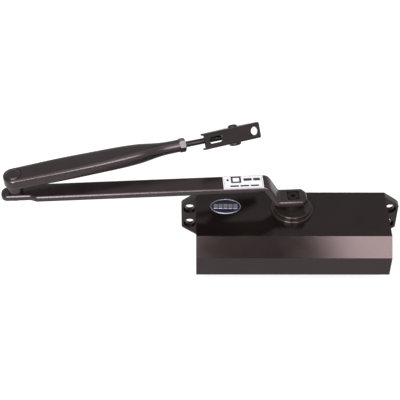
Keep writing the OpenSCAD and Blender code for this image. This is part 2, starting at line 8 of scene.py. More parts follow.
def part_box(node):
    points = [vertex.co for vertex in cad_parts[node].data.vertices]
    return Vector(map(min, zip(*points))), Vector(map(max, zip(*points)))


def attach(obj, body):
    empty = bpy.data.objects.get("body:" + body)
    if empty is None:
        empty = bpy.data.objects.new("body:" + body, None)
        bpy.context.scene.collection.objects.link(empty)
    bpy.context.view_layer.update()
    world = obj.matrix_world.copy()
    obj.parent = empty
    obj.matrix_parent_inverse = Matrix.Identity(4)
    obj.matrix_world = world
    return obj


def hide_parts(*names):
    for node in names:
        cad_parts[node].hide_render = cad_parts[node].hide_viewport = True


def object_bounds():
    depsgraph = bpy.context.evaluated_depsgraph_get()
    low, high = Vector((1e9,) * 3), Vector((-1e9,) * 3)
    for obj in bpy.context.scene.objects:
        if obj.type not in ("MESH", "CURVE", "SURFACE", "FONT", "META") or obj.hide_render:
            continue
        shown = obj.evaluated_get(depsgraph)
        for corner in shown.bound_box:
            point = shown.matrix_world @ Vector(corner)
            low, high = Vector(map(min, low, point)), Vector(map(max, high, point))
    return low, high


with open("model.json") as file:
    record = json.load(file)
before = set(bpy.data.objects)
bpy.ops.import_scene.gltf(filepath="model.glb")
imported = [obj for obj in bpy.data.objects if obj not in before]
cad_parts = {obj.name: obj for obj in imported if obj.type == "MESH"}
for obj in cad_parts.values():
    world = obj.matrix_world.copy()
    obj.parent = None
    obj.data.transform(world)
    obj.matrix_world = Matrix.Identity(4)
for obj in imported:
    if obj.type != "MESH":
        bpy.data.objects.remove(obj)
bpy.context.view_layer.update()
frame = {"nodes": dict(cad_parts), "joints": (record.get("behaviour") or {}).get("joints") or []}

nodes = frame["nodes"]
MM = 0.001

# ---------------------------------------------------------------- frame facts

# Joint positions and axes, the arm's turn away from the door and the shoe's roll and pitch on the rod
joint_at = {j["name"]: j for j in frame["joints"]}
ELBOW = Vector(joint_at["elbow_turn"]["pos_m"])
PIN = Vector(joint_at["shoe_pivot"]["pos_m"])
ROD_DIR = Vector(joint_at["rod_slide"]["axis"]).normalized()
SPINDLE = Vector(joint_at["spindle_turn"]["pos_m"])
MAIN_TURN = math.radians(3.4)
SHOE_ROLL = math.radians(52)
SHOE_PITCH = math.radians(16)
FOREARM_TURN = math.atan2(ROD_DIR.y, ROD_DIR.x)

# Heights of the housing's top, the bar and the arm's eye, and the bar's sideways crank in millimetres
BAR_THICK = 5.5 * MM
TOP_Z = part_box("housing")[1].z
BAR_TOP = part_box("elbow_washer")[0].z
BAR_LOW = BAR_TOP - BAR_THICK
EYE_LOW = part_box("main_arm")[0].z
EYE_TOP = EYE_LOW + BAR_THICK
CRANK = 5.2

# Each frame's origin is a pivot, and its X axis runs along the piece
ARM_FRAME = Matrix.Translation((SPINDLE.x, SPINDLE.y, 0)) @ Matrix.Rotation(math.pi + MAIN_TURN, 4, "Z")
FORE_FRAME = Matrix.Translation(ELBOW) @ Matrix.Rotation(FOREARM_TURN, 4, "Z")
SHOE_FRAME = (Matrix.Translation(PIN) @ Matrix.Rotation(FOREARM_TURN, 4, "Z")
              @ Matrix.Rotation(SHOE_ROLL, 4, "X") @ Matrix.Rotation(SHOE_PITCH, 4, "Y"))
ACROSS = Matrix.Rotation(math.pi / 2, 4, "X")

# ---------------------------------------------------------------- materials


def new_material(name):
    """A material with its node tree and its shader."""
    m = bpy.data.materials.new(name)
    m.use_nodes = True
    nt = m.node_tree
    return m, nt, nt.nodes["Principled BSDF"]


def add(nt, kind, **values):
    """A new shader node with its inputs set by name."""
    n = nt.nodes.new(kind)
    for key, v in values.items():
        n.inputs[key].default_value = v
    return n


def ramp(nt, src, stops):
    """A colour ramp on a value, from (position, colour) stops."""
    r = nt.nodes.new("ShaderNodeValToRGB")
    el = r.color_ramp.elements
    el[0].position, el[0].color = stops[0]
    el[1].position, el[1].color = stops[-1]
    for pos, col in stops[1:-1]:
        e = el.new(pos)
        e.color = col
    nt.links.new(src, r.inputs["Fac"])
    return r


def grey(v):
    return (v, v, v, 1)


def drift(nt, src, b, base, shade, shine, low, high):
    """Base colour that drifts between a darker and a lighter shade with a noise value."""
    dark = tuple(c * shade for c in base) + (1,)
    light = tuple(min(1, c * shine) for c in base) + (1,)
    colour = ramp(nt, src, [(low, dark), (high, light)])
    nt.links.new(colour.outputs["Color"], b.inputs["Base Color"])


def uneven(nt, src, b, rough, spread, low, high):
    """Roughness that drifts with a noise value."""
    level = ramp(nt, src, [(low, grey(rough - spread)), (high, grey(rough + spread))])
    nt.links.new(level.outputs["Color"], b.inputs["Roughness"])


def grainy(nt, src, b, strength, depth):
    """Fine relief from a noise value."""
    bump = add(nt, "ShaderNodeBump", Strength=strength, Distance=depth)
    nt.links.new(src, bump.inputs["Height"])
    nt.links.new(bump.outputs["Normal"], b.inputs["Normal"])


def coated(name, base, tint, rough, spread, bump, grain, sheen_level):
    """Satin paint on metal: a slow colour drift and a fine orange peel."""
    m, nt, b = new_material(name)
    coord = add(nt, "ShaderNodeTexCoord")
    slow = add(nt, "ShaderNodeTexNoise", Scale=35, Detail=3.0, Roughness=0.55)
    fine = add(nt, "ShaderNodeTexNoise", Scale=grain, Detail=2.0, Roughness=0.6)
    for n in (slow, fine):
        nt.links.new(coord.outputs["Object"], n.inputs["Vector"])
    drift(nt, slow.outputs["Fac"], b, base, 0.82, 1.2, 0.3, 0.7)
    uneven(nt, slow.outputs["Fac"], b, rough, spread, 0.25, 0.75)
    grainy(nt, fine.outputs["Fac"], b, bump, 0.0002)
    b.inputs["Specular IOR Level"].default_value = sheen_level
    b.inputs["Specular Tint"].default_value = tint + (1,)
    return m


def metal(name, base, rough, spread, bump, scale=(60, 60, 60)):
    """Bare or plated metal: streaked roughness and light tool marks."""
    m, nt, b = new_material(name)
    coord = add(nt, "ShaderNodeTexCoord")
    stretch = add(nt, "ShaderNodeMapping", Scale=scale)
    nt.links.new(coord.outputs["Object"], stretch.inputs["Vector"])
    streaks = add(nt, "ShaderNodeTexNoise", Scale=12.0, Detail=3.0, Roughness=0.6)
    nt.links.new(stretch.outputs["Vector"], streaks.inputs["Vector"])
    drift(nt, streaks.outputs["Fac"], b, base, 0.8, 1.08, 0.3, 0.7)
    uneven(nt, streaks.outputs["Fac"], b, rough, spread, 0.3, 0.7)
    grainy(nt, streaks.outputs["Fac"], b, bump, 0.0001)
    b.inputs["Metallic"].default_value = 1.0
    return m


def moulded(name, base, rough, bump, shine=0.5):
    """Moulded rubber, plastic or printed film with a fine surface grain."""
    m, nt, b = new_material(name)
    coord = add(nt, "ShaderNodeTexCoord")
    grain = add(nt, "ShaderNodeTexNoise", Scale=700, Detail=3.0)
    nt.links.new(coord.outputs["Object"], grain.inputs["Vector"])
    drift(nt, grain.outputs["Fac"], b, base, 0.88, 1.06, 0.35, 0.65)
    grainy(nt, grain.outputs["Fac"], b, bump, 0.0001)
    b.inputs["Roughness"].default_value = rough
    b.inputs["Specular IOR Level"].default_value = shine
    return m


HOUSING = coated("bronze_satin_housing", (0.0026, 0.0019, 0.0017), (1.0, 0.74, 0.76), 0.125, 0.02, 0.09,
                 grain=1100, sheen_level=0.28)
ARM = coated("bronze_satin_arm", (0.0050, 0.0037, 0.0037), (1.0, 0.80, 0.84), 0.24, 0.03, 0.06,
             grain=1300, sheen_level=0.38)
DARK = coated("black_oxide", (0.004, 0.0035, 0.0035), (1.0, 0.9, 0.9), 0.28, 0.04, 0.1,
              grain=1800, sheen_level=0.16)
# Near black with little sheen: painted shade on the steel pinion shaft's neck and the elbow washer, which sit
# in the shade under the arms
SHADE_DARKENED_STEEL = coated("steel_darkened_as_painted_shade", (0.006, 0.005, 0.005), (1.0, 0.9, 0.9), 0.45, 0.05, 0.1,
               grain=1800, sheen_level=0.09)
NUT_DARK = coated("bronze_satin_nut", (0.007, 0.0055, 0.005), (1.0, 0.82, 0.82), 0.14, 0.02, 0.05,
                  grain=1500, sheen_level=0.27)
ZINC = metal("zinc_plate", (0.60, 0.59, 0.58), 0.32, 0.08, 0.12)
BRIGHT = metal("bright_zinc", (0.06, 0.055, 0.055), 0.36, 0.05, 0.08)
STEEL = metal("machined_steel", (0.50, 0.49, 0.48), 0.30, 0.08, 0.15, scale=(20, 20, 260))
BRUSHED = metal("brushed_badge", (0.20, 0.20, 0.225), 0.46, 0.07, 0.12, scale=(15, 240, 60))
BRONZE = metal("sintered_bronze", (0.42, 0.27, 0.12), 0.45, 0.08, 0.2)
RUBBER = moulded("nitrile", (0.018, 0.018, 0.018), 0.55, 0.1)
CAP = moulded("cap_plastic", (0.02, 0.016, 0.015), 0.42, 0.12)
FIELD = moulded("badge_field", (0.003, 0.0034, 0.011), 0.45, 0.05, shine=0.15)
FILM = moulded("label_film", (0.29, 0.286, 0.297), 0.5, 0.03, shine=0.2)
INK = moulded("label_ink", (0.006, 0.006, 0.007), 0.5, 0.02, shine=0.15)
PALE_INK = moulded("label_pale_ink", (0.07, 0.07, 0.07), 0.5, 0.02, shine=0.15)


def paint(obj, mat):
    obj.data.materials.clear()
    obj.data.materials.append(mat)


# ---------------------------------------------------------------- mesh helpers


def object_from(bm, name, mat, smooth=True):
    """A scene object with one material, its faces turned outwards."""
    me = bpy.data.meshes.new(name)
    bmesh.ops.recalc_face_normals(bm, faces=bm.faces[:])
    bm.to_mesh(me)
    bm.free()
    for p in me.polygons:
        p.use_smooth = smooth
    o = bpy.data.objects.new(name, me)
    bpy.context.scene.collection.objects.link(o)
    me.materials.append(mat)
    return o


def bevel(o, width, segments, angle):
    """Rounds the edges sharper than an angle and weights the normals to the large faces."""
    m = o.modifiers.new("edge", "BEVEL")
    m.width = width
    m.segments = segments
    m.limit_method = "ANGLE"
    m.angle_limit = math.radians(angle)
    m.use_clamp_overlap = True
    m.harden_normals = False
    w = o.modifiers.new("normals", "WEIGHTED_NORMAL")
    w.keep_sharp = True
    w.weight = 80


def bake(o):
    """Turns the object's modifiers into plain mesh."""
    bpy.context.view_layer.update()
    dg = bpy.context.evaluated_depsgraph_get()
    me = bpy.data.meshes.new_from_object(o.evaluated_get(dg))
    o.modifiers.clear()
    o.data = me


def cut(o, *tools, op="DIFFERENCE"):
    """Takes the tools away from the object, or joins them to it with op UNION, and removes them."""
    for t in tools:
        m = o.modifiers.new("bool", "BOOLEAN")
        m.operation = op
        m.solver = "EXACT"
        m.object = t
    bake(o)
    for t in tools:
        bpy.data.objects.remove(t)


def lathe(profile, sides=64):
    """A bmesh turned about Z from (radius, height) pairs; a radius of 0 closes an end."""
    bm = bmesh.new()
    rings = []
    for r, z in profile:
        if r < 1e-9:
            rings.append([bm.verts.new((0, 0, z))])
        else:
            turns = [2 * math.pi * i / sides for i in range(sides)]
            rings.append([bm.verts.new((r * math.cos(t), r * math.sin(t), z)) for t in turns])
    for a, b in zip(rings, rings[1:]):
        for i in range(sides):
            k = (i + 1) % sides
            if len(a) == 1 and len(b) == 1:
                continue
            if len(a) == 1:
                bm.faces.new((a[0], b[k], b[i]))
            elif len(b) == 1:
                bm.faces.new((a[i], a[k], b[0]))
            else:
                bm.faces.new((a[i], a[k], b[k], b[i]))
    bmesh.ops.remove_doubles(bm, verts=bm.verts[:], dist=1e-8)
    return bm


def round_profile(points, r, n=3):
    """Rounds the corners of an open (radius, height) profile."""
    out = [points[0]]
    for p, q, s in zip(points, points[1:], points[2:]):
        p, q, s = Vector(p), Vector(q), Vector(s)
        a, b = (p - q), (s - q)
        d = min(r, a.length * 0.45, b.length * 0.45)
        a, b = q + a.normalized() * d, q + b.normalized() * d
        for i in range(n + 1):
            t = i / n
            out.append(tuple((1 - t) ** 2 * a + 2 * t * (1 - t) * q + t * t * b))
    out.append(points[-1])
    return out


def turned(name, profile, mat, frame_m, radius, sides=64):
    """A lathed piece with its corners rounded."""
    bm = lathe(round_profile(profile, radius), sides)
    bm.transform(frame_m)
    return object_from(bm, name, mat)


def solid_box(lo, hi, frame_m):
    """A box between two corners, to cut with."""
    bm = bmesh.new()
    bmesh.ops.create_cube(bm, size=1)
    lo, hi = Vector(lo), Vector(hi)
    bm.transform(Matrix.Translation((lo + hi) / 2) @ Matrix.Diagonal((*(hi - lo), 1)))
    bm.transform(frame_m)
    return object_from(bm, "tool", DARK, smooth=False)


def solid_cylinder(r, z0, z1, frame_m, sides=48):
    """A cylinder between two heights, to cut with."""
    bm = lathe([(0, z0), (r, z0), (r, z1), (0, z1)], sides)
    bm.transform(frame_m)
    return object_from(bm, "tool", DARK, smooth=False)


def walls(bm, loops):
    """Faces between each ring and the next."""
    n = len(loops[0])
    for p, q in zip(loops, loops[1:]):
        for i in range(n):
            k = (i + 1) % n
            bm.faces.new((p[i], p[k], q[k], q[i]))


def prism(outline, z0, z1):
    """A bmesh with an (x, y) outline raised from one height to another."""
    bm = bmesh.new()
    low = [bm.verts.new((x, y, z0)) for x, y in outline]
    high = [bm.verts.new((x, y, z1)) for x, y in outline]
    bm.faces.new(low[::-1])
    bm.faces.new(high)
    walls(bm, [low, high])
    return bm


def rimmed(outline, half_t, top_rim, low_rim, steps):
    """A flat bar from a clockwise outline; the outline steps inwards on a quarter circle at both faces."""
    pts = [Vector(p) for p in outline]
    n = len(pts)
    inward = []
    for i in range(n):
        a = (pts[i] - pts[i - 1]).normalized()
        b = (pts[(i + 1) % n] - pts[i]).normalized()
        na, nb = Vector((a.y, -a.x)), Vector((b.y, -b.x))
        inward.append((na + nb) / (1 + na.dot(nb)))

    def quarter(rim):
        return [(rim * (1 - math.cos(t)), half_t - rim * (1 - math.sin(t)))
                for t in (math.pi / 2 * k / steps for k in range(steps + 1))]

    levels = [(inset, -z) for inset, z in reversed(quarter(low_rim))] + quarter(top_rim)
    bm = bmesh.new()
    loops = []
    for inset, z in levels:
        loops.append([bm.verts.new((p.x + d.x * inset, p.y + d.y * inset, z)) for p, d in zip(pts, inward)])
    walls(bm, loops)
    bm.faces.new(loops[0])
    bm.faces.new(loops[-1])
    return bm


def arc(cx, cy, r, a0, a1, n):
    """Points on an arc between two angles in degrees."""
    turns = [math.radians(a0 + (a1 - a0) * i / n) for i in range(n + 1)]
    return [(cx + r * math.cos(t), cy + r * math.sin(t)) for t in turns]


def sharp_by_angle(o, degrees):
    """Smooth shading with sharp edges where faces meet at more than the angle."""
    bm = bmesh.new()
    bm.from_mesh(o.data)
    limit = math.radians(degrees)
    for f in bm.faces:
        f.smooth = True
    for e in bm.edges:
        e.smooth = len(e.link_faces) == 2 and e.calc_face_angle(0) < limit
    bm.to_mesh(o.data)
    bm.free()


# ---------------------------------------------------------------- housing group

housing = nodes["housing"]
paint(housing, HOUSING)
weld = housing.modifiers.new("weld", "WELD")
weld.merge_threshold = 1e-6
plain = housing.modifiers.new("plain", "DECIMATE")
plain.decimate_type = "DISSOLVE"
plain.angle_limit = math.radians(0.5)
# The square corners first, then the long chamfer edges
bevel(housing, 0.8 * MM, 4, 60)
bevel(housing, 1.3 * MM, 4, 33)

for name in ("left_end_plug", "right_end_plug", "closing_valve", "latching_valve", "shoe_washers",
             "check_ball"):
    paint(nodes[name], ZINC)
for name in ("upper_bearing", "lower_bearing", "piston", "check_valve_seat", "check_retainer",
             "main_spring", "spring_seat"):
    paint(nodes[name], STEEL)
for name in ("upper_shaft_seal", "lower_shaft_seal", "end_plug_seals", "closing_valve_seal",
             "latching_valve_seal"):
    paint(nodes[name], RUBBER)
# The pinion shaft and the elbow washer get the near-black steel as painted shade
for name in ("pinion_shaft", "elbow_washer"):
    paint(nodes[name], SHADE_DARKENED_STEEL)
for name in ("arm_screw", "spring_adjusting_screw"):
    paint(nodes[name], DARK)
paint(nodes["elbow_bush"], BRONZE)
paint(nodes["spindle_cap"], CAP)
paint(nodes["lock_nut"], BRIGHT)

for name, width in (("left_end_plug", 0.3), ("right_end_plug", 0.3), ("arm_screw", 0.2), ("spindle_cap", 0.6),
                    ("lock_nut", 0.25), ("pinion_shaft", 0.3), ("elbow_washer", 0.25), ("closing_valve", 0.2),
                    ("latching_valve", 0.2), ("shoe_washers", 0.15)):
    bevel(nodes[name], width * MM, 2, 25)

# ---------------------------------------------------------------- bearing nuts


def bearing_nut(name, side):
    """Round nut with a raised step and rolled rims; side is 1 for the upper one, -1 for the lower one."""
    lo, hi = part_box(name)
    top = hi.z if side > 0 else -lo.z
    low = lo.z if side > 0 else -hi.z
    flange, step, thread = 19.1 * MM, 17.0 * MM, 16.0 * MM
    pocket, bore, lid = 12.0 * MM, 8.35 * MM, 1.3 * MM
    flange_top = TOP_Z + 2.5 * MM
    rim = 0.9 * MM
    turns = [math.pi / 12 * i for i in range(7)]

    def rolled(r, z):
        return [(r - rim + rim * math.sin(t), z - rim + rim * math.cos(t)) for t in turns]

    profile = [(pocket, low), (pocket, top - lid), (bore, top - lid), (bore, top)]
    profile += rolled(step, top) + [(step, flange_top)] + rolled(flange, flange_top)
    profile += [(flange, TOP_Z), (thread, TOP_Z), (thread, low), (pocket, low)]
    at = Matrix.Translation((SPINDLE.x, SPINDLE.y, 0))
    if side < 0:
        at = at @ Matrix.Rotation(math.pi, 4, "X")
    bm = lathe(profile, 96)
    bm.transform(at)
    o = object_from(bm, name + "_body", NUT_DARK)
    spanner_r, circle_r = 1.25 * MM, 14.5 * MM
    holes = []
    for a in (45, 135, 225, 315):
        spot = at @ Matrix.Rotation(math.radians(a), 4, "Z") @ Matrix.Translation((circle_r, 0, 0))
        holes.append(solid_cylinder(spanner_r, top - 2 * MM, top + 1 * MM, spot, 24))
    cut(o, *holes)
    paint(o, NUT_DARK)
    sharp_by_angle(o, 25)
    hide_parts(name)
    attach(o, "closer_body")


bearing_nut("upper_bearing_nut", 1)
bearing_nut("lower_bearing_nut", -1)

# ---------------------------------------------------------------- nameplate


def nameplate():
    """Oval badge: a crowned rim, a sunken field and a row of plain blocks."""
    lo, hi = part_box("nameplate")
    cx, cy = (lo.x + hi.x) / 2, (lo.y + hi.y) / 2
    a, b = (hi.x - lo.x) / 2, (hi.y - lo.y) / 2
    z0 = lo.z
    h = hi.z - lo.z
    turns = [2 * math.pi * i / 96 for i in range(96)]

    def oval(rings, mat, name):
        """A closed oval body from (inset, height) rings."""
        bm = bmesh.new()
        loops = []
        for inset, z in rings:
            p, q = a - inset, b - inset
            loops.append([bm.verts.new((cx + p * math.cos(t), cy + q * math.sin(t), z0 + z)) for t in turns])
        walls(bm, loops)
        bm.faces.new(loops[0])
        bm.faces.new(loops[-1])
        return object_from(bm, name, mat)

    rim_rings = [(0, 0), (0.05 * MM, h * 0.6), (0.25 * MM, h * 0.92), (0.5 * MM, h), (0.75 * MM, h * 0.92),
                 (1.0 * MM, h * 0.45)]
    base = oval(rim_rings, BRUSHED, "badge_rim")
    field = oval([(0.95 * MM, 0.1 * MM), (0.95 * MM, h * 0.5), (1.2 * MM, h * 0.52)], FIELD, "badge_field")
    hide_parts("nameplate")
    count, gap, half_row, half_block = 5, 0.7 * MM, 11.0 * MM, 3.1 * MM
    width = (2 * half_row - gap * (count - 1)) / count
    bm = bmesh.new()
    for i in range(count):
        x0 = cx - half_row + i * (width + gap)
        part = prism([(x0, cy - half_block), (x0 + width, cy - half_block), (x0 + width, cy + half_block),
                      (x0, cy + half_block)], z0 + h * 0.4, z0 + h * 0.86)
        block = bpy.data.meshes.new("block")
        part.to_mesh(block)
        part.free()
        bm.from_mesh(block)
        bpy.data.meshes.remove(block)
    blocks = object_from(bm, "badge_blocks", BRUSHED)
    bevel(blocks, 0.28 * MM, 3, 30)
    for o in (base, field, blocks):
        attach(o, "closer_body")


nameplate()

# ---------------------------------------------------------------- main arm


def main_arm():
    """Flat bar with rounded rims, bent up and sideways in a joggle between its eye and its run."""
    rise = 14.2
    turn = math.radians(55)
    bend = 5.0
    joggle_middle = 19.1
    half_t, top_rim, low_rim = 2.75, 2.2, 0.6
    square, rivet_bore = 10.86, 4.02
    ramp_run = (rise - 2 * bend * (1 - math.cos(turn))) / math.tan(turn)
    run = ramp_run + 2 * bend * math.sin(turn)
    start = joggle_middle - run / 2
    length = 249.1
    half, neck_step = 9.5, 2.5
    neck_half = half - neck_step
    end = length + 13.2
    neck = end - 30

    # Length along the bar's middle against x: flat, bend up, ramp, bend back, flat
    arc_len = bend * turn
    ramp_len = ramp_run / math.cos(turn)
    joggle_len = 2 * arc_len + ramp_len

    def place(s, n):
        """Where a point s along the flat bar and n above its middle goes: along, up and sideways."""
        if s <= start:
            return s, n, 0.0
        u = s - start
        if u < arc_len:
            a = u / bend
            x, z = start + bend * math.sin(a), bend * (1 - math.cos(a))
        elif u < arc_len + ramp_len:
            a = turn
            v = u - arc_len
            x = start + bend * math.sin(a) + v * math.cos(a)
            z = bend * (1 - math.cos(a)) + v * math.sin(a)
        elif u < joggle_len:
            a = (joggle_len - u) / bend
            x, z = start + run - bend * math.sin(a), rise - bend * (1 - math.cos(a))
        else:
            return s - joggle_len + run, rise + n, CRANK
        e = (x - start) / run
        return x - n * math.sin(a), z + n * math.cos(a), CRANK * e * e * (3 - 2 * e)

    # Half of the flat bar's outline: cut corners at the eye, a smooth step to the neck, a rounded end
    extra = joggle_len - run
    end_r = 6.0
    middle, step = (half + neck_half) / 2, (half - neck_half) / 2
    side = [(-12.6, 4.0), (-12.2, 5.2), (-8.9, 9.1), (-7.8, half)]
    side += [(start, half), (start + joggle_len, half)]
    side += [(neck + extra - 3 + i, middle + step * math.cos(math.pi * i / 8)) for i in range(9)]
    side += arc(end + extra - end_r, neck_half - end_r, end_r, 90, 0, 8)
    clean = []
    for p in side + [(x, -y) for x, y in reversed(side)]:
        if not clean or (Vector(p) - Vector(clean[-1])).length > 1e-6:
            clean.append(p)
    bm = rimmed(clean, half_t, top_rim, low_rim, 6)

    # The flat bar is sliced where it will bend, then its points are moved
    steps = 40
    stations = [start + joggle_len * i / steps for i in range(steps + 1)]
    stations += [start - 1, 40.0, 60, 90, 120, 150, 180, 210]
    for s in sorted(stations):
        bmesh.ops.bisect_plane(bm, geom=bm.verts[:] + bm.edges[:] + bm.faces[:], plane_co=(s, 0, 0),
                               plane_no=(1, 0, 0))
    for v in bm.verts:
        x, z, shift = place(v.co.x, v.co.z)
        v.co = Vector((x, v.co.y - shift, z)) * MM
    bm.transform(ARM_FRAME @ Matrix.Translation((0, 0, EYE_LOW + half_t * MM)))
    arm = object_from(bm, "arm_bar", ARM)
    sq = square / 2 * MM
    rivet_at = ARM_FRAME @ Matrix.Translation((length * MM, -CRANK * MM, 0))
    cut(arm,
        solid_box((-sq, -sq, EYE_LOW - 2 * MM), (sq, sq, EYE_TOP + 2 * MM), ARM_FRAME),
        solid_cylinder(rivet_bore * MM, BAR_LOW - 2 * MM, BAR_TOP + 2 * MM, rivet_at))
    paint(arm, ARM)
    sharp_by_angle(arm, 32)
    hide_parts("main_arm")
    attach(arm, "spindle_body")


main_arm()

# ---------------------------------------------------------------- label


def arm_label():
    """Pale film with a thin border, an empty frame and rows of plain bars as thin sheets."""
    lo = BAR_TOP + 0.02 * MM
    start, length, half = 27.4, 36.2, 8.6
    f = ARM_FRAME @ Matrix.Translation((start * MM, -CRANK * MM, lo))

    def sheet(x0, x1, y0, y1, z0, z1, mat, name):
        bm = prism([(x0 * MM, y0 * MM), (x1 * MM, y0 * MM), (x1 * MM, y1 * MM), (x0 * MM, y1 * MM)],
                   z0 * MM, z1 * MM)
        bm.transform(f)
        o = object_from(bm, name, mat, smooth=False)
        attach(o, "spindle_body")
        return o

    film = sheet(0, length, -half, half, 0, 0.12, FILM, "label_film")
    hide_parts("arm_label")
    ink_low, ink_top = 0.121, 0.14
    inset, line = 0.9, 0.3
    x0, x1, y1 = inset, length - inset, half - 0.8
    border = [(x0, x1, y1 - line, y1), (x0, x1, -y1, -y1 + line),
              (x0, x0 + line, -y1 + line, y1 - line), (x1 - line, x1, -y1 + line, y1 - line)]
    for i, box in enumerate(border):
        sheet(*box, ink_low, ink_top, PALE_INK, f"label_border_{i}")
    top_row, low_row = (-4.7, -1.5), (4.1, 6.0)
    bars = [(2.6, 8.8, *top_row), (10.2, 17.6, *top_row), (31.0, 33.0, -4.4, -1.8), (19.8, 29.0, -7.4, 1.0),
            (4.2, 11.8, *low_row), (13.2, 21.0, *low_row), (22.4, 30.2, *low_row)]
    for i, box in enumerate(bars):
        sheet(*box, ink_low, ink_top, INK, f"label_bar_{i}")
    sheet(21.5, 27.3, -5.6, -0.8, 0.141, 0.15, FILM, "label_window")


arm_label()

# ---------------------------------------------------------------- elbow


def elbow():
    """Elbow rivet: a domed head in the forearm's spot face and a closed head under the bar."""
    at = Matrix.Translation((ELBOW.x, ELBOW.y, 0))
    lo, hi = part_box("elbow_rivet")
    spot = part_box("elbow_bush")[1].z
    shank, head, low_head = 4 * MM, 6.9 * MM, 5.4 * MM
    prof = [(0, lo.z), (low_head - 1 * MM, lo.z), (low_head, lo.z + 0.8 * MM), (low_head, BAR_LOW),
            (shank, BAR_LOW), (shank, spot + 0.1 * MM), (head, spot + 0.1 * MM), (head, spot + 1.1 * MM),
            (head - 1.4 * MM, hi.z - 0.05 * MM), (head * 0.45, hi.z), (0, hi.z)]
    o = turned("rivet", prof, ARM, at, 0.45 * MM)
    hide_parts("elbow_rivet")
    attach(o, "spindle_body")


elbow()

# ---------------------------------------------------------------- forearm

# Width, height and squareness of the swaged section by distance from the elbow
WIDTH_AT = [(0, 20), (14, 20.8), (42, 22), (79, 21.3), (98, 20.2), (108, 19.1), (116, 17.6), (125.5, 14.6),
            (135, 12.5), (144, 12), (153, 12), (160, 12)]
HEIGHT_AT = [(0, 11), (14, 11.2), (42, 12.1), (79, 12.7), (98, 13.7), (108, 14), (116, 14), (125.5, 13),
             (135, 11.8), (144, 11.5), (153, 11.5), (160, 11.5)]
SQUARE_AT = [(0, 5), (79, 4.2), (116, 3), (135, 2.2), (144, 2), (160, 2)]


def smooth_lookup(table, x):
    """Cubic interpolation through a table, flat beyond its ends."""
    if x <= table[0][0]:
        return table[0][1]
    for i in range(len(table) - 1):
        x0, y0 = table[i]
        x1, y1 = table[i + 1]
        if x <= x1:
            xm, ym = table[i - 1] if i else (x0 - (x1 - x0), y0)
            xp, yp = table[i + 2] if i + 2 < len(table) else (x1 + (x1 - x0), y1)
            m0 = (y1 - ym) / (x1 - xm) * (x1 - x0)
            m1 = (yp - y0) / (xp - x0) * (x1 - x0)
            t = (x - x0) / (x1 - x0)
            return ((2 * t ** 3 - 3 * t * t + 1) * y0 + (t ** 3 - 2 * t * t + t) * m0
                    + (3 * t * t - 2 * t ** 3) * y1 + (t ** 3 - t * t) * m1)
    return table[-1][1]


def skin(bm, loops):
    """Faces between a row of equal rings and over both ends."""
    walls(bm, loops)
    bm.faces.new(loops[0][::-1])
    bm.faces.new(loops[-1])


def forearm():
    """Swaged bar with a rounded nose, a hub under its elbow end and a bore for the rod."""
    sides = 64
    r_end = 9.0
    length = 151.5
    xs = [-r_end * math.cos(math.radians(3 + 87 * i / 12)) for i in range(12)]
    xs += [length * i / 76 for i in range(77)]
    bm = bmesh.new()
    loops = []
    for x in xs:
        nose = math.sqrt(max(0, r_end ** 2 - x * x)) / r_end if x < 0 else 1.0
        a = smooth_lookup(WIDTH_AT, max(x, 0)) / 2 * nose
        b = smooth_lookup(HEIGHT_AT, max(x, 0)) / 2 * (0.62 + 0.38 * nose ** 0.6)
        n = smooth_lookup(SQUARE_AT, max(x, 0))
        ring = []
        for j in range(sides):
            t = 2 * math.pi * j / sides
            c, s = math.cos(t), math.sin(t)
            y = a * math.copysign(abs(c) ** (2 / n), c)
            z = b * math.copysign(abs(s) ** (2 / n), s)
            ring.append(bm.verts.new((x * MM, y * MM, z * MM)))
        loops.append(ring)
    skin(bm, loops)
    bm.transform(FORE_FRAME)
    o = object_from(bm, "forearm_bar", ARM)
    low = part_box("forearm")[0].z - ELBOW.z
    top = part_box("elbow_bush")[1].z - ELBOW.z
    hub_r, bush_r, spot_r, rod_r = 7.2 * MM, 5.52 * MM, 7.4 * MM, 3.0 * MM
    bore_start, bore_end = 100 * MM, 160 * MM
    hub = lathe(round_profile([(0, low), (hub_r, low), (hub_r, 0), (0, 0)], 0.6 * MM), 64)
    hub.transform(FORE_FRAME)
    cut(o, object_from(hub, "hub", ARM), op="UNION")
    cut(o,
        solid_cylinder(bush_r, low - 2 * MM, top + 1 * MM, FORE_FRAME),
        solid_cylinder(spot_r, top, top + 5 * MM, FORE_FRAME),
        solid_cylinder(rod_r, bore_start, bore_end, FORE_FRAME @ Matrix.Rotation(math.pi / 2, 4, "Y")))
    paint(o, ARM)
    sharp_by_angle(o, 40)
    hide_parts("forearm")
    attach(o, "forearm_body")


forearm()

# ---------------------------------------------------------------- adjusting rod


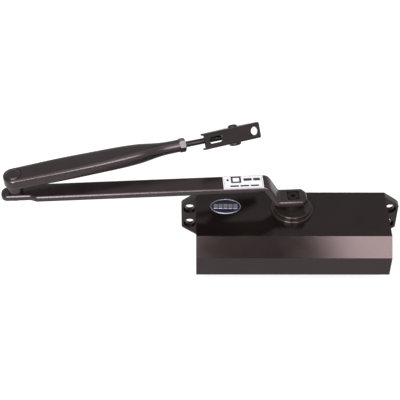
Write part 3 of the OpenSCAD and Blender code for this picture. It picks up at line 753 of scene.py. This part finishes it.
def rod():
    """The rod with a rolled thread between the forearm and its flattened eye."""
    reach = (PIN - ELBOW).length
    eye_r, half_eye, bore = 5.6 * MM, 3.7 * MM, 2.54 * MM
    r_out, r_in, pitch = 2.95 * MM, 2.55 * MM, 1.0 * MM
    hidden_end, plain_end = 112 * MM, 139 * MM
    thread_start, thread_end = 140 * MM, reach - 9.5 * MM
    rows = int((thread_end - thread_start) / (pitch / 4))
    xs = [hidden_end, plain_end] + [thread_start + i * pitch / 4 for i in range(rows + 1)]
    xs += [thread_end + 0.5 * MM, reach - eye_r + 0.8 * MM]
    sides = 20
    bm = bmesh.new()
    loops = []
    for x in xs:
        ring = []
        for j in range(sides):
            t = j / sides
            if thread_start <= x <= thread_end:
                phase = ((x / pitch) + t) % 1.0
                r = r_in + (r_out - r_in) * (1 - abs(2 * phase - 1))
            else:
                r = r_in + 0.15 * MM if x > thread_end else r_in
            a = 2 * math.pi * t
            ring.append(bm.verts.new((x, r * math.cos(a), r * math.sin(a))))
        loops.append(ring)
    skin(bm, loops)
    bm.transform(FORE_FRAME)
    o = object_from(bm, "threaded_rod", DARK)
    eye_at = FORE_FRAME @ Matrix.Rotation(SHOE_ROLL, 4, "X") @ Matrix.Translation((reach, 0, 0)) @ ACROSS
    ring = [(bore, 0), (bore, half_eye), (eye_r, half_eye), (eye_r, 0), (eye_r, -half_eye), (bore, -half_eye),
            (bore, 0)]
    eye = turned("rod_eye", ring, DARK, eye_at, 0.5 * MM, 48)
    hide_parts("adjusting_rod")
    for p in (o, eye):
        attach(p, "rod_body")


rod()

# ---------------------------------------------------------------- shoe


def shoe():
    """Folded channel with cut-back flanges, a slot and a round hole, and the rivet it turns on."""
    half, t = 7.5, 1.8
    left, length = -35.7, 59.6
    right = left + length
    plate_z = 6.5
    top = plate_z + t
    low = -5.2
    tip = 2.0
    flange_left, flange_right = -12, 8
    hole_x, hole_r, pin_r = 17.8, 3.9, 2.52
    r_out = 2.3
    r_in = r_out - t
    cx, cz = half - r_out, top - r_out
    outer = [(-half, low)] + arc(-cx, cz, r_out, 180, 90, 6) + arc(cx, cz, r_out, 90, 0, 6) + [(half, low)]
    inner = [(half - t, low)] + arc(cx, cz, r_in, 0, 90, 6) + arc(-cx, cz, r_in, 90, 180, 6)
    section = outer + inner + [(-half + t, low)]
    bm = bmesh.new()
    steps = 24
    loops = [[bm.verts.new((left + length * i / steps, y, z)) for y, z in section] for i in range(steps + 1)]
    n = len(section)
    walls(bm, loops)
    # Each end is a strip of quads between the outer and the inner line
    for ring in (loops[0], loops[-1]):
        for j in range(len(outer) - 1):
            bm.faces.new((ring[j], ring[j + 1], ring[n - 2 - j], ring[n - 1 - j]))
    bmesh.ops.recalc_face_normals(bm, faces=bm.faces[:])

    def slice_off(p0, p1):
        """Takes away what is below the line through two (x, z) points and closes the cut."""
        d = Vector((p1[0] - p0[0], 0, p1[1] - p0[1]))
        no = Vector((d.z, 0, -d.x)).normalized()
        if no.z > 0:
            no = -no
        geom = bm.verts[:] + bm.edges[:] + bm.faces[:]
        bmesh.ops.bisect_plane(bm, geom=geom, plane_co=(p0[0], 0, p0[1]), plane_no=no, clear_outer=True)
        bmesh.ops.holes_fill(bm, edges=[e for e in bm.edges if len(e.link_faces) == 1], sides=0)

    slice_off((left, tip), (flange_left, low))
    slice_off((flange_right, low), (right, tip))
    for v in bm.verts:
        v.co *= MM
    bm.transform(SHOE_FRAME)
    o = object_from(bm, "shoe_channel", ARM)
    z0, z1 = (plate_z - 2) * MM, (top + 2) * MM
    slot_x, slot_l, slot_w = -23.8, 14.6, 6.0
    h, r = (slot_l - slot_w) / 2, slot_w / 2
    ends = arc(slot_x - h, 0, r, 90, 270, 14) + arc(slot_x + h, 0, r, -90, 90, 14)
    slot = prism([(x * MM, y * MM) for x, y in ends], z0, z1)
    slot.transform(SHOE_FRAME)
    cut(o, object_from(slot, "tool", DARK, smooth=False),
        solid_cylinder(hole_r * MM, z0, z1, SHOE_FRAME @ Matrix.Translation((hole_x * MM, 0, 0))),
        solid_cylinder(pin_r * MM, -12 * MM, 12 * MM, SHOE_FRAME @ ACROSS))
    paint(o, ARM)
    sharp_by_angle(o, 30)
    bevel(o, 0.28 * MM, 2, 40)
    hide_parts("shoe_bracket")
    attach(o, "shoe_body")
    face = half * MM
    shank, head, closed = 2.5 * MM, 5.5 * MM, 4.3 * MM
    profile = [(0, -face - 2.2 * MM), (2.6 * MM, -face - 2.1 * MM), (closed, -face - 1.1 * MM),
               (closed, -face), (shank, -face), (shank, face), (head, face), (head, face + 1.7 * MM),
               (3.6 * MM, face + 2.6 * MM), (0, face + 2.8 * MM)]
    pin = turned("shoe_rivet", profile, DARK, SHOE_FRAME @ ACROSS, 0.4 * MM, 48)
    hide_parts("shoe_pin")
    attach(pin, "shoe_body")


shoe()

# ---------------------------------------------------------------- floor, light, camera

FLOOR_HALF = 6.0

floor_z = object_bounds()[0].z - 0.3 * MM
bm = bmesh.new()
for x, y in ((-1, -1), (1, -1), (1, 1), (-1, 1)):
    bm.verts.new((x * FLOOR_HALF, y * FLOOR_HALF, floor_z))
bm.faces.new(bm.verts[:])
floor_mat, _, shader = new_material("pale_floor")
shader.inputs["Base Color"].default_value = grey(0.2)
shader.inputs["Emission Color"].default_value = grey(1)
shader.inputs["Emission Strength"].default_value = 0.7
shader.inputs["Roughness"].default_value = 0.9
shader.inputs["Specular IOR Level"].default_value = 0.1
floor = object_from(bm, "floor", floor_mat, smooth=False)

# Sky by height: a pale horizon, a dimmer band above it and a bright top
world = bpy.data.worlds.new("studio")
bpy.context.scene.world = world
world.use_nodes = True
sky = world.node_tree
background = sky.nodes["Background"]
direction = sky.nodes.new("ShaderNodeTexCoord")
split = sky.nodes.new("ShaderNodeSeparateXYZ")
sky.links.new(direction.outputs["Generated"], split.inputs[0])
height = ramp(sky, split.outputs["Z"], [(0.0, grey(1.0)), (0.35, grey(0.95)), (0.62, grey(0.68)),
                                        (0.86, grey(0.75)), (1.0, grey(3.0))])
sky.links.new(height.outputs["Color"], background.inputs["Color"])
background.inputs["Strength"].default_value = 1.0

CAMERA_AT = Vector((-84.09, -688.11, 679.50)) * MM
CAMERA_DOWN = math.radians(44.0)
CAMERA_TURN = math.radians(0.045)
FOCAL_PIXELS, IMAGE_PIXELS = 1012.8, 400
TARGET = Vector((-84.0, -20.0, 30.0)) * MM


def panel(name, centre, width, height, radiance):
    """A softbox that faces the target."""
    light = bpy.data.lights.new(name, "AREA")
    light.shape = "RECTANGLE"
    light.size, light.size_y = width, height
    light.energy = radiance * math.pi * width * height
    o = bpy.data.objects.new(name, light)
    bpy.context.scene.collection.objects.link(o)
    o.location = centre
    o.rotation_euler = (TARGET - Vector(centre)).to_track_quat("-Z", "Y").to_euler()


def around(dx, elevation, distance=0.97):
    """A point near the camera's arc over the part: dx to its side, at an elevation in degrees."""
    e = math.radians(elevation)
    return (CAMERA_AT.x + dx, TARGET.y - distance * math.cos(e), TARGET.z + distance * math.sin(e))


panel("softbox_left", around(-0.25, 42), 0.42, 0.98, 24.0)
panel("softbox_right", around(0.31, 52), 0.26, 0.64, 17.5)
panel("softbox_upper", around(0.14, 62), 0.16, 0.3, 8.0)

cam = bpy.data.cameras.new("camera")
cam.sensor_width = 36.0
cam.lens = FOCAL_PIXELS / IMAGE_PIXELS * cam.sensor_width
cam.clip_start, cam.clip_end = 0.05, 20
camera = bpy.data.objects.new("camera", cam)
bpy.context.scene.collection.objects.link(camera)
camera.location = CAMERA_AT
forward = Matrix.Rotation(CAMERA_TURN, 3, "Z") @ Vector((0, math.cos(CAMERA_DOWN), -math.sin(CAMERA_DOWN)))
camera.rotation_mode = "QUATERNION"
camera.rotation_quaternion = forward.to_track_quat("-Z", "Y")
bpy.context.scene.camera = camera
bpy.context.scene.view_settings.view_transform = "Standard"
